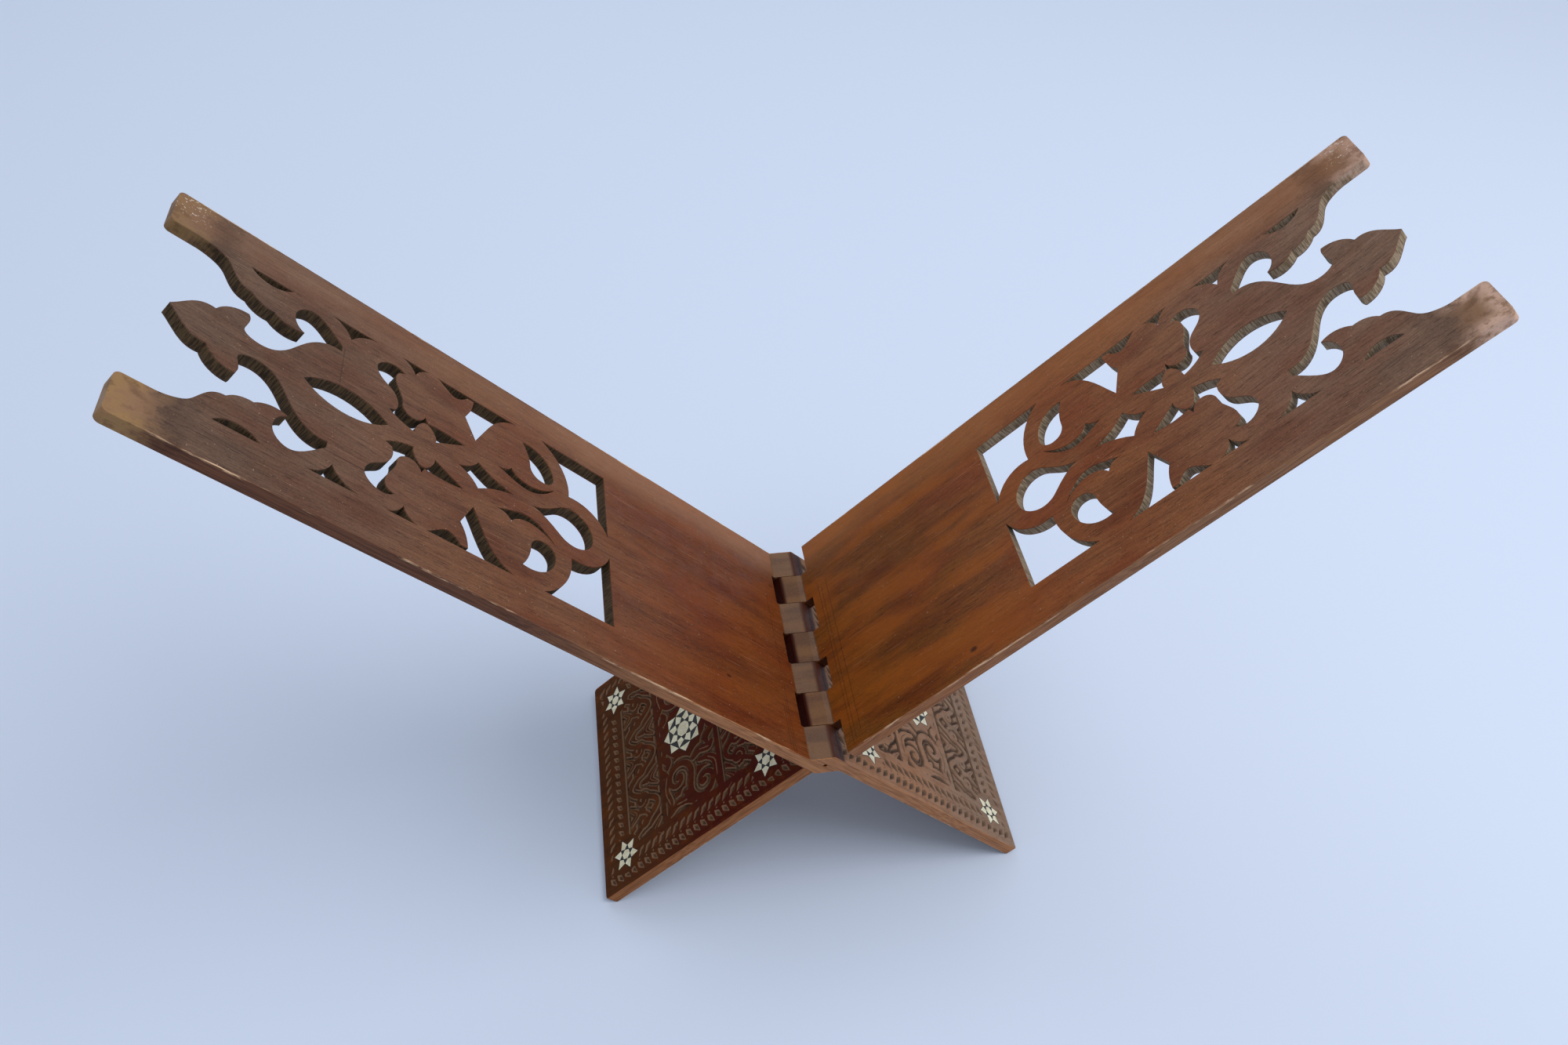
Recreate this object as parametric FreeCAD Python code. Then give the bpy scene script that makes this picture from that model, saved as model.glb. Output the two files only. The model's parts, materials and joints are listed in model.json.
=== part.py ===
import FreeCAD, Part
import math
import os

# Folding one-plank book stand (rehal). Two leaves are sawn out of one plank and stay
# locked together by seven knuckles on a wire pin. Each leaf is a reading board on one
# side of the pin and a carved leg on the other side.
#
# World frame: X across the open stand, Y along the hinge pin, Z up, feet on Z = 0.
# Leaf frame: s along the reading board away from the pin (negative down the leg),
# y along the pin, m square to the board, positive on the reader's side.

# Driving dimensions, millimetres and degrees
board_width = 132.0
board_length = 333.5          # pin to the tip of a reading board
leg_length = 141.0            # pin to the foot
board_thickness = 5.8
saw_kerf = 2.2                # wood lost between the two leaves
board_slope = 44.5            # slope of each reading board, stand open
knuckle_half_height = 5.2     # flat knuckle tops and bottoms above and below the pin
knuckle_widths = [17.5, 18.5, 20.0, 19.0, 18.5, 19.5, 19.0]   # back to front
knuckle_gap = 0.3
board_shoulder = {"a": 10.5, "b": 13.0}   # pin to the board's end between the knuckles
stop_clearance = 0.1
foot_flat_width = 2.0         # foot arris worn flat on the table
tip_corner_radius = 2.5
foot_corner_radius = 2.0

pin_radius = 1.0
pin_clearance = 0.05
pin_recess = 0.8

window_half = 46.0            # fretwork window and horn edges, from the middle line
window_start = 124.0

carving_depth = 1.3
rib_width = 2.4
frame_half = 47.0             # middle line of the rib around the carved panels
frame_start = 29.5
frame_end = 123.3
panel_ribs = [56.5, 96.0]
field_start = 3.5
field_end = 138.5
field_half = 63.5

inlay_depth = 1.2
nacre_thickness = 1.0
chip_joint = 0.14             # mastic line left round every chip
star_places = {
    "hinge_front": (27.8, -49.0),
    "hinge_back": (27.8, 49.0),
    "foot_front": (125.0, -48.5),
    "foot_back": (125.0, 48.5),
}
star_radii = (2.9, 4.9, 8.8)            # centre plate, kite shoulders, kite tips
rosette_place = (77.5, 0.0)
rosette_radii = (4.5, 7.0, 10.8, 14.2)  # and the outer points
seat_margin = 1.3             # plain wood left round each inlay

# Worked out from the driving dimensions
slope = math.radians(board_slope)
half_kerf = saw_kerf / 2
outer = half_kerf + board_thickness     # pin to a leaf's outer face
half_width = board_width / 2
knuckle_join = 16.0                     # knuckles run this far into board and leg
leg_shoulder = outer / math.tan(slope) + stop_clearance / math.sin(2 * slope)
pin_height = leg_length * math.sin(slope) - half_kerf * math.cos(slope)
foot_cut = foot_flat_width / (math.tan(slope) + 1 / math.tan(slope))
pin_height -= foot_cut
past = 5.0                              # cutting solids overrun by this much
along_m = FreeCAD.Vector(0, 0, 1)

os.makedirs("parts", exist_ok=True)


def save(shape, name):
    shape.exportStep("parts/" + name + ".step")


def stretch(points):
    """One smooth stretch of an outline: a line, an arc or a spline through its points."""
    vectors = [FreeCAD.Vector(s, y, 0) for s, y in points]
    if len(vectors) == 2:
        return Part.LineSegment(vectors[0], vectors[1]).toShape()
    if len(vectors) == 3:
        return Part.Arc(vectors[0], vectors[1], vectors[2]).toShape()
    curve = Part.BSplineCurve()
    curve.interpolate(vectors)
    return curve.toShape()


def prism(stretches, low, high):
    """Solid between m = low and m = high with the outline's stretches as its walls."""
    wire = Part.Wire([stretch(points) for points in stretches])
    base = Part.Face(wire)
    base.translate(along_m * low)
    return base.extrude(along_m * (high - low))


def polygon(points, low, high):
    corners = list(points) + [points[0]]
    return prism([corners[i:i + 2] for i in range(len(points))], low, high)


def flipped(stretches):
    """The same outline on the other side of the middle line."""
    return [[(s, -y) for s, y in points] for points in stretches]


def reversed_path(stretches):
    return [list(reversed(points)) for points in reversed(stretches)]


# ---- fretwork, far half; every outline is repeated on the near half ----

corner_hole = [
    [(window_start, 6.1), (window_start, window_half)],
    [(window_start, window_half), (160.5, window_half)],
    [(160.5, window_half), (148.2, 33.0), (145.7, 18.7)],
    [(145.7, 18.7), (131.5, 15.8), (window_start, 6.1)],
]
comma_hole = [
    [(171.1, 37.2), (158.2, 33.8), (154.0, 24.0)],
    [(154.0, 24.0), (156.3, 19.4), (160.5, 18.3)],
    [(160.5, 18.3), (165.0, 20.2), (166.8, 25.0)],
    [(166.8, 25.0), (168.2, 31.6), (171.1, 37.2)],
]
crescent_hole = [
    [(153.8, 17.4), (159.5, 11.4), (167.5, 7.9), (177.0, 9.9), (185.0, 13.2)],
    [(185.0, 13.2), (179.5, 13.6), (176.8, 16.3)],
    [(176.8, 16.3), (173.8, 13.1), (168.2, 11.5), (161.0, 12.8), (153.8, 17.4)],
]
petal_hole = [
    [(174.4, window_half), (184.6, 40.0), (190.5, 30.5), (195.4, 20.0)],
    [(195.4, 20.0), (201.2, 32.0)],
    [(201.2, 32.0), (198.3, 38.0), (197.2, 44.4)],
    [(197.2, 44.4), (200.4, 44.4)],
    [(200.4, 44.4), (202.8, 41.8), (206.2, 40.2), (210.2, 42.0), (216.0, window_half)],
    [(216.0, window_half), (174.4, window_half)],
]
small_gap = [
    [(219.5, window_half), (224.2, 43.2), (226.2, 39.4)],
    [(226.2, 39.4), (228.4, 43.2), (233.5, window_half)],
    [(233.5, window_half), (219.5, window_half)],
]
peak_hole = [
    [(244.4, window_half), (251.4, 43.2), (256.3, 37.6)],
    [(256.3, 37.6), (260.0, 43.0), (266.0, window_half)],
    [(266.0, window_half), (244.4, window_half)],
]
lens_hole = [
    [(283.0, window_half), (292.0, 41.8), (301.0, window_half)],
    [(301.0, window_half), (283.0, window_half)],
]
scroll_hole = [
    [(200.5, 13.2), (206.4, 9.8), (214.4, 5.2)],
    [(214.4, 5.2), (215.6, 10.0), (219.5, 13.0), (223.0, 9.8), (224.2, 4.4)],
    [(224.2, 4.4), (230.6, 6.2), (236.6, 9.8)],
    [(236.6, 9.8), (233.6, 11.2)],
    [(233.6, 11.2), (232.8, 15.5), (235.4, 21.4), (241.4, 26.2), (243.6, 32.0),
     (239.4, 37.2), (230.5, 35.8)],
    [(230.5, 35.8), (234.4, 33.6), (234.6, 28.8), (231.6, 22.0), (230.8, 16.6)],
    [(230.8, 16.6), (229.0, 13.6), (220.0, 16.7)],
    [(220.0, 16.7), (218.6, 13.6)],
    [(218.6, 13.6), (210.0, 14.3), (200.5, 13.2)],
]
half_outlines = [corner_hole, comma_hole, crescent_hole, petal_hole, small_gap,
                 peak_hole, lens_hole, scroll_hole]

# ---- fretwork on the middle line ----

teardrop_top = [[(132.8, 0.0), (140.4, 10.6), (150.5, 9.0)],
                [(150.5, 9.0), (154.8, 5.6), (160.0, 2.2), (166.0, 0.0)]]
diamond_top = [[(175.6, 0.0), (184.6, 2.7), (193.5, 7.9)],
               [(193.5, 7.9), (197.4, 3.2), (203.5, 0.0)]]
vesica_top = [[(236.0, 0.0), (254.5, 7.4), (272.6, 0.0)]]
centre_outlines = [teardrop_top, diamond_top, vesica_top]

# Open mouth between the horns: bracket, then the long neck and leaf of the finial
mouth_top = [
    [(320.0, window_half), (314.6, 44.9), (309.8, 42.3), (306.2, 37.0), (302.6, 32.8),
     (298.2, 31.4)],
    [(298.2, 31.4), (294.0, 28.2), (288.4, 27.4)],
    [(288.4, 27.4), (282.4, 24.4), (275.5, 25.2)],
    [(275.5, 25.2), (279.8, 30.0), (279.6, 36.5), (273.5, 41.0), (266.0, 37.2), (259.5, 30.6)],
    [(259.5, 30.6), (259.4, 27.2)],
    [(259.4, 27.2), (268.0, 25.6), (274.6, 19.2), (280.8, 9.9), (290.2, 4.5), (297.6, 7.8),
     (296.6, 12.9), (297.3, 17.7)],
    [(297.3, 17.7), (303.8, 16.2), (309.2, 10.4)],
    [(309.2, 10.4), (314.8, 9.6), (319.8, 5.2), (324.5, 0.0)],
]


def reading_board(shoulder):
    """Flat board with two horns; its end near the pin stops short at the shoulder."""
    tip = board_length
    r = tip_corner_radius
    bend = r * (1 - math.sqrt(0.5))
    far_side = [
        [(shoulder, half_width), (tip - r, half_width)],
        [(tip - r, half_width), (tip - bend, half_width - bend), (tip, half_width - r)],
        [(tip, half_width - r), (tip, window_half + r)],
        [(tip, window_half + r), (tip - bend, window_half + bend), (tip - r, window_half)],
        [(tip - r, window_half), (320.0, window_half)],
    ] + mouth_top
    near_side = reversed_path(flipped(far_side))
    end = [[(shoulder, -half_width), (shoulder, half_width)]]
    board = prism(end + far_side + near_side, -outer, -half_kerf)
    return board.cut(fret_holes())


def fret_holes():
    """All closed openings of the fretwork as cutting solids."""
    low = -outer - past
    high = past
    holes = []
    for outline in half_outlines:
        holes.append(prism(outline, low, high))
        holes.append(prism(flipped(outline), low, high))
    for top in centre_outlines:
        holes.append(prism(top + reversed_path(flipped(top)), low, high))
    return holes


def leg_plate():
    """Leg between its shoulder and its foot, outer face at m = outer."""
    r = foot_corner_radius
    bend = r * (1 - math.sqrt(0.5))
    foot = -leg_length
    outline = [
        [(-leg_shoulder, -half_width), (foot + r, -half_width)],
        [(foot + r, -half_width), (foot + bend, bend - half_width), (foot, r - half_width)],
        [(foot, r - half_width), (foot, half_width - r)],
        [(foot, half_width - r), (foot + bend, half_width - bend), (foot + r, half_width)],
        [(foot + r, half_width), (-leg_shoulder, half_width)],
        [(-leg_shoulder, half_width), (-leg_shoulder, -half_width)],
    ]
    return prism(outline, half_kerf, outer)


def knuckle_section():
    """Corners (s, m) of a knuckle; its top and bottom are level when the stand is open."""
    face = (knuckle_half_height + half_kerf * math.cos(slope)) / math.sin(slope)
    back = (knuckle_half_height - outer * math.cos(slope)) / math.sin(slope)
    upper = [(knuckle_join, -half_kerf), (face, -half_kerf), (back, outer),
             (-knuckle_join, outer)]
    lower = [(-knuckle_join, half_kerf), (-face, half_kerf), (-back, -outer),
             (knuckle_join, -outer)]
    return upper + lower


def knuckle_spans():
    """(front, back) of the seven knuckles along y, in order from the back."""
    spans = []
    back = half_width
    for width in knuckle_widths:
        spans.append((back - width, back))
        back -= width
    return spans


def knuckles(leaf):
    """Knuckles of one leaf: numbers 1, 3, 5, 7 from the back on leaf a, the rest on b."""
    first = 0 if leaf == "a" else 1
    solids = []
    for front, back in knuckle_spans()[first::2]:
        low = front if front == -half_width else front + knuckle_gap / 2
        high = back if back == half_width else back - knuckle_gap / 2
        corners = [FreeCAD.Vector(s, low, m) for s, m in knuckle_section()]
        face = Part.Face(Part.makePolygon(corners + corners[:1]))
        solids.append(face.extrude(FreeCAD.Vector(0, high - low, 0)))
    return solids


def rectangle(start, end, half, low, high):
    """Block on the leg, start and end measured down the leg from the pin."""
    size = (end - start, 2 * half, high - low)
    return Part.makeBox(*size, FreeCAD.Vector(-end, -half, low))


def seats():
    """Round plain seats that the inlays keep in the carved field."""
    height = outer + past
    solids = []
    for s, y in star_places.values():
        centre = FreeCAD.Vector(-s, y, 0)
        solids.append(Part.makeCylinder(star_radii[-1] + seat_margin, height, centre))
    centre = FreeCAD.Vector(-rosette_place[0], rosette_place[1], 0)
    solids.append(Part.makeCylinder(rosette_radii[-1] + seat_margin, height, centre))
    return solids


def carved_field():
    """Ground of the relief: a border band and three panels, less the inlay seats."""
    low = outer - carving_depth
    high = outer + past
    half_rib = rib_width / 2
    band = rectangle(field_start, field_end, field_half, low, high)
    inner = rectangle(frame_start - half_rib, frame_end + half_rib, frame_half + half_rib,
                      low - past, high + past)
    pieces = [band.cut(inner)]
    edges = [frame_start] + panel_ribs + [frame_end]
    for start, end in zip(edges, edges[1:]):
        pieces.append(rectangle(start + half_rib, end - half_rib, frame_half - half_rib,
                                low, high))
    field = pieces[0].fuse(pieces[1:])
    return field.cut(seats())


# ---- inlays, drawn round (0, 0) and then set on the leg ----

def at(radius, turn):
    return (radius * math.cos(turn), radius * math.sin(turn))


def inset(points, gap):
    """Convex chip outline moved inwards by gap on every side."""
    count = len(points)
    area = sum(points[i - 1][0] * points[i][1] - points[i][0] * points[i - 1][1]
               for i in range(count))
    side = 1 if area > 0 else -1
    lines = []
    for i in range(count):
        ax, ay = points[i - 1]
        bx, by = points[i]
        run = math.hypot(bx - ax, by - ay)
        nx = -side * (by - ay) / run
        ny = side * (bx - ax) / run
        lines.append((nx, ny, nx * ax + ny * ay + gap))
    moved = []
    for i in range(count):
        n1x, n1y, c1 = lines[i]
        n2x, n2y, c2 = lines[(i + 1) % count]
        det = n1x * n2y - n1y * n2x
        moved.append(((c1 * n2y - c2 * n1y) / det, (n1x * c2 - n2x * c1) / det))
    return moved


def chips(radii, points, turn):
    """Chip outlines by ring: centre plate, kites and, with a fourth radius, outer points."""
    step = 2 * math.pi / points
    tips = [turn + i * step for i in range(points)]
    plate = [at(radii[0], angle) for angle in tips]
    kites = [[at(radii[0], a), at(radii[1], a + step / 2), at(radii[2], a),
              at(radii[1], a - step / 2)] for a in tips]
    rings = {"centre": [plate], "kites": kites}
    if len(radii) == 4:
        rings["points"] = [[at(radii[2], a), at(radii[3], a + step / 2),
                            at(radii[2], a + step)] for a in tips]
    return rings


def bed_outline(radii, points, turn):
    """Outline of the mastic bed: the inlay's own star, a joint wider all round."""
    step = 2 * math.pi / points
    outline = []
    for i in range(points):
        a = turn + i * step
        if len(radii) == 4:
            outline.append(at(radii[2] + chip_joint, a))
            outline.append(at(radii[3] + 2 * chip_joint, a + step / 2))
        else:
            outline.append(at(radii[2] + 2 * chip_joint, a))
            outline.append(at(radii[1] + chip_joint, a + step / 2))
    return outline


def inlay(radii, points, turn, place):
    """Mastic bed and rings of nacre chips of one inlay, set in the leg's outer face."""
    s, y = place
    spot = FreeCAD.Vector(-s, y, 0)
    floor = outer - inlay_depth
    bed = polygon(bed_outline(radii, points, turn), floor, outer)
    pieces = {}
    for ring, outlines in chips(radii, points, turn).items():
        solids = []
        for outline in outlines:
            solids.append(polygon(inset(outline, chip_joint), outer - nacre_thickness, outer))
        pieces[ring] = Part.makeCompound(solids)
        bed = bed.cut(solids)
    pieces["mastic"] = bed
    for shape in pieces.values():
        shape.translate(spot)
    pocket = polygon(bed_outline(radii, points, turn), floor, outer + past)
    pocket.translate(spot)
    return pieces, pocket


def leg_inlays():
    """All inlays of one leg: name -> rings, and the pockets they sit in."""
    sets = {}
    pockets = []
    for name, place in star_places.items():
        foot_side = 1 if place[0] > leg_length / 2 else -1
        to_corner = math.atan2(place[1], -foot_side * abs(place[1]))
        sets["star_" + name], pocket = inlay(star_radii, 6, to_corner, place)
        pockets.append(pocket)
    sets["rosette"], pocket = inlay(rosette_radii, 8, math.pi / 8, rosette_place)
    pockets.append(pocket)
    return sets, pockets


def placed(shape, leaf):
    """From the leaf frame to the world, stand open. Leaf a is the mirror of leaf b."""
    shape = shape.copy()
    origin = FreeCAD.Vector(0, 0, 0)
    shape.rotate(origin, FreeCAD.Vector(0, 1, 0), -board_slope)
    if leaf == "a":
        shape = shape.mirror(origin, FreeCAD.Vector(1, 0, 0))
    shape.translate(FreeCAD.Vector(0, 0, pin_height))
    return shape


def foot_trim():
    """Everything below the table, in world coordinates."""
    size = 4 * board_length
    return Part.makeBox(size, size, size, FreeCAD.Vector(-size / 2, -size / 2, -size))


def build_leaf(leaf, pockets):
    radius = pin_radius if leaf == "a" else pin_radius + pin_clearance
    start = FreeCAD.Vector(0, -half_width - past, 0)
    bore = Part.makeCylinder(radius, board_width + 2 * past, start, FreeCAD.Vector(0, 1, 0))
    wood = reading_board(board_shoulder[leaf]).fuse([leg_plate()] + knuckles(leaf))
    wood = wood.removeSplitter()
    wood = wood.cut([bore, carved_field()] + pockets)
    wood = placed(wood, leaf).cut(foot_trim())
    return wood.Solids[0] if len(wood.Solids) == 1 else wood


def hinge_pin():
    start = FreeCAD.Vector(0, pin_recess - half_width, pin_height)
    length = board_width - 2 * pin_recess
    return Part.makeCylinder(pin_radius, length, start, FreeCAD.Vector(0, 1, 0))


def main():
    inlay_sets, pockets = leg_inlays()
    for leaf in ("a", "b"):
        wood = build_leaf(leaf, pockets)
        print("leaf_" + leaf, "solids", len(wood.Solids), "valid", wood.isValid(),
              "volume", round(wood.Volume))
        save(wood, "leaf_" + leaf)
        for name, rings in inlay_sets.items():
            for ring, shape in rings.items():
                save(placed(shape, leaf), name + "_" + leaf + "_" + ring)
    save(hinge_pin(), "hinge_pin")


main()
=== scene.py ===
"""Looks of the folding book stand: wood, carved relief, shell inlay, floor, light and camera.

Leaf frame, in millimetres: s along a reading board away from the pin (negative down the
leg), y along the pin, m square to the board, positive on the reader's side.
"""
import json
import math

import bpy
import numpy as np
from mathutils import Matrix, Vector


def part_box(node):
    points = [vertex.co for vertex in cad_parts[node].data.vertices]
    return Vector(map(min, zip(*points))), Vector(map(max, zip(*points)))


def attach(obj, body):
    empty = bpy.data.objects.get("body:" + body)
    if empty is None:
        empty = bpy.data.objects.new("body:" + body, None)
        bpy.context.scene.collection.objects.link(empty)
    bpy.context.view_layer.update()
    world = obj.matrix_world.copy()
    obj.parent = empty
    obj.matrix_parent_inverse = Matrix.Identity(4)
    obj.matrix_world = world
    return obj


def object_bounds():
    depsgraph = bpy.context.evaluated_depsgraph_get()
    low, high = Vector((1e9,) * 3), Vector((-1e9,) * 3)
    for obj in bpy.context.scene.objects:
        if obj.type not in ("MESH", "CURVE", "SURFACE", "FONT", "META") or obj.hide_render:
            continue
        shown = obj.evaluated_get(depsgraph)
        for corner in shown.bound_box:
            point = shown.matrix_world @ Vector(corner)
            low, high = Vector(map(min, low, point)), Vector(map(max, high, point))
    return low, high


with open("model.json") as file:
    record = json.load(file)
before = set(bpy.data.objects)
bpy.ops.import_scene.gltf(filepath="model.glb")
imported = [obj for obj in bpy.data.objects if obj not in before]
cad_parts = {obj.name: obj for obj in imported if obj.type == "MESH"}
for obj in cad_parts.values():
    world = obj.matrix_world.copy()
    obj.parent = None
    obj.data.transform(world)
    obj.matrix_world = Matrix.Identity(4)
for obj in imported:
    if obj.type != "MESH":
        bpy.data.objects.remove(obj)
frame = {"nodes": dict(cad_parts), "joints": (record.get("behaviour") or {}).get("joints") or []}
cad_low, cad_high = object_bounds()

MM = 0.001
PIN_HEIGHT = frame["joints"][0]["pos_m"][2]
SLOPE = math.radians(44.5)          # slope of each reading board, stand open
BOARD_LENGTH = 333.5                # pin to the tip of a reading board
HALF_WIDTH = cad_high.y / MM
READING_FACE = -1.1                 # m of the reading face
OUTER = 6.9                         # pin to a leaf's outer face
WINDOW_START = 124.0                # where the fretwork begins
WINDOW_HALF = 46.0
KNUCKLE_HALF = 5.2                  # flat knuckle tops above and below the pin
KNUCKLE_WIDTHS = [17.5, 18.5, 20.0, 19.0, 18.5, 19.5, 19.0]     # from the back


# ---- camera ----

CAMERA_ANGLES = (-10.41, 43.14, 2.39)       # azimuth, elevation and roll, degrees
CAMERA_TARGET = (0.01044, 0.11398, PIN_HEIGHT)
CAMERA_DISTANCE = 0.7151
CAMERA_LENS = 29.39
CAMERA_SENSOR = 36
CAMERA_SHIFT = (-0.00235, -0.0168)
CAMERA_CLIP = 0.01


def make_camera():
    """Seen from the front and above, a little to the left."""
    azimuth, elevation, roll = (math.radians(angle) for angle in CAMERA_ANGLES)
    back = Vector((math.sin(azimuth) * math.cos(elevation),
                   -math.cos(azimuth) * math.cos(elevation), math.sin(elevation)))
    level = (-back).cross(Vector((0, 0, 1))).normalized()
    upright = level.cross(-back)
    right = math.cos(roll) * level + math.sin(roll) * upright
    up = -math.sin(roll) * level + math.cos(roll) * upright
    data = bpy.data.cameras.new("camera")
    data.lens = CAMERA_LENS
    data.sensor_width = CAMERA_SENSOR
    data.shift_x, data.shift_y = CAMERA_SHIFT
    data.clip_start = CAMERA_CLIP
    camera = bpy.data.objects.new("camera", data)
    turn = Matrix((right, up, back)).transposed().to_4x4()
    place = Vector(CAMERA_TARGET) + CAMERA_DISTANCE * back
    camera.matrix_world = Matrix.Translation(place) @ turn
    bpy.context.scene.collection.objects.link(camera)
    bpy.context.scene.camera = camera


# ---- node trees ----

class Shader:
    """One material's node tree, built with short calls that return sockets."""

    def __init__(self, name):
        self.material = bpy.data.materials.new(name)
        self.material.use_nodes = True
        self.tree = self.material.node_tree
        self.surface = self.tree.nodes["Principled BSDF"]

    def node(self, kind, inputs=(), **settings):
        made = self.tree.nodes.new("ShaderNode" + kind)
        for key, value in settings.items():
            setattr(made, key, value)
        for key, value in dict(inputs).items():
            self.put(made.inputs[key], value)
        return made

    def put(self, socket, value):
        if isinstance(value, bpy.types.NodeSocket):
            self.tree.links.new(value, socket)
        else:
            socket.default_value = value

    def math(self, operation, a, b=0.0, c=0.0):
        return self.node("Math", {0: a, 1: b, 2: c}, operation=operation).outputs[0]

    def times(self, first, *others):
        """The product of sockets and numbers."""
        for other in others:
            first = self.math("MULTIPLY", first, other)
        return first

    def step(self, value, low, high, out_low=0.0, out_high=1.0):
        """Smooth step from out_low to out_high as value goes from low to high."""
        inputs = {"Value": value, "From Min": low, "From Max": high,
                  "To Min": out_low, "To Max": out_high}
        return self.node("MapRange", inputs, interpolation_type="SMOOTHSTEP").outputs[0]

    def bump_at(self, value, centre, width):
        """1 at centre, falling smoothly to 0 at centre plus or minus width."""
        off = self.math("ABSOLUTE", self.math("SUBTRACT", value, centre))
        return self.step(off, width, 0.0)

    def mix(self, share, a, b, blend="MIX"):
        made = self.node("Mix", {0: share}, data_type="RGBA", blend_type=blend)
        self.put(made.inputs[6], colour(a))
        self.put(made.inputs[7], colour(b))
        return made.outputs[2]

    def stretch(self, vector, scale, offset=(0, 0, 0)):
        return self.node("Mapping", {"Vector": vector, "Scale": scale,
                                     "Location": offset}).outputs[0]

    def noise(self, vector, scale=1.0, detail=3.0, rough=0.5, distort=0.0):
        inputs = {"Vector": vector, "Scale": scale, "Detail": detail,
                  "Roughness": rough, "Distortion": distort}
        return self.node("TexNoise", inputs).outputs[0]

    def split(self, vector):
        return self.node("SeparateXYZ", {0: vector}).outputs

    def join(self, x, y, z):
        return self.node("CombineXYZ", {0: x, 1: y, 2: z}).outputs[0]


def colour(value):
    """A hex colour string as linear RGBA; anything else passes through."""
    if not isinstance(value, str):
        return value
    parts = [int(value[i:i + 2], 16) / 255 for i in (0, 2, 4)]
    return [(v / 12.92 if v <= 0.04045 else ((v + 0.055) / 1.055) ** 2.4) for v in parts] + [1]


def leaf_position(sh, leaf):
    """(s, y, m) of the shaded point in millimetres, as a vector."""
    side = 1 if leaf == "b" else -1
    scale = 1 / MM
    lift = PIN_HEIGHT * scale
    place = (-lift * math.sin(SLOPE), 0, -lift * math.cos(SLOPE))
    inputs = {"Vector": sh.node("TexCoord").outputs["Object"], "Location": place,
              "Rotation": (0, SLOPE, 0), "Scale": (side * scale, scale, scale)}
    return sh.node("Mapping", inputs).outputs[0]


# ---- wood ----

# Colours of each leaf. hinge, middle, outer: reading face from the hinge outwards; glow: share
# of orange near the hinge; rail_sheen, rail_sheen_out: a painted sheen that lightens the far rail,
# and how much of it is left further out; tip: worn horn tips; wall: sawn fretwork; slot_shade:
# painted shade on the wood seen between the knuckles; carved: the leg's outer face near the hinge
# and at the foot, on leaf b set much darker, partly its wood and partly painted shade under the
# board; cut, ground: chip sides and their floors, the floors darker with depth as painted shade;
# edge_out_and_shade: the side faces further out, darker there as painted shade.
TONES = {
    "a": {
        "hinge": "703a17", "middle": "744c33", "outer": "6b5344", "glow": 0.12,
        "rail_sheen": "aa8062", "rail_sheen_out": 0.45, "tip": "8e6f49",
        "wall": "54432e", "wall_dark": "2c2218", "slot_shade": "3e1c0e",
        "carved": "92694a", "carved_foot": "7f6652", "leg_shine": 0.2,
        "cut": "6a5547", "ground": "30221a",
        "edge": "a26f48", "edge_out_and_shade": "64402c", "rub": "c9a887",
    },
    "b": {
        "hinge": "784410", "middle": "8a5430", "outer": "826553", "glow": 0.42,
        "rail_sheen": "a86c3c", "rail_sheen_out": 1.0, "tip": "caa894",
        "wall": "968671", "wall_dark": "62523f", "slot_shade": "2a0a04",
        # leaf b's leg tones hold painted shade under the board as well as the wood's colour
        "carved": "4a1204", "carved_foot": "4c2a12", "leg_shine": 0.04,
        "cut": "80644f", "ground": "1a0d07",
        "edge": "94623f", "edge_out_and_shade": "8c6446", "rub": "cbaa8c",
    },
}
KNUCKLE_TONE = "5c473a"

# On the reading faces, millimetres: scribed or cracked lines across (s, from y, to y), mended
# cracks along the grain (from s, to s, y) and knots (s, y, size).
SCRIBED = {
    "a": [(17.6, -64, -28), (19.0, -64, -36), (20.6, -62, -40), (17.9, -20, 30),
          (258.4, 9.0, 28.5)],
    "b": [(17.5, -62, 34), (19.4, -60, 30), (22.8, -58, 33)],
}
MENDS = {"a": [(242.0, 260.5, -32.0)], "b": []}
KNOTS = {"a": [(56.3, -39.3, 1.2)], "b": [(89.0, -56.7, 1.7)]}

SCRIBE_WIDTH = 0.45
MEND_WIDTH = 0.4
WOOD_BUMP = 0.00012         # metres
BOARD_SHINE = 0.17


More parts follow.
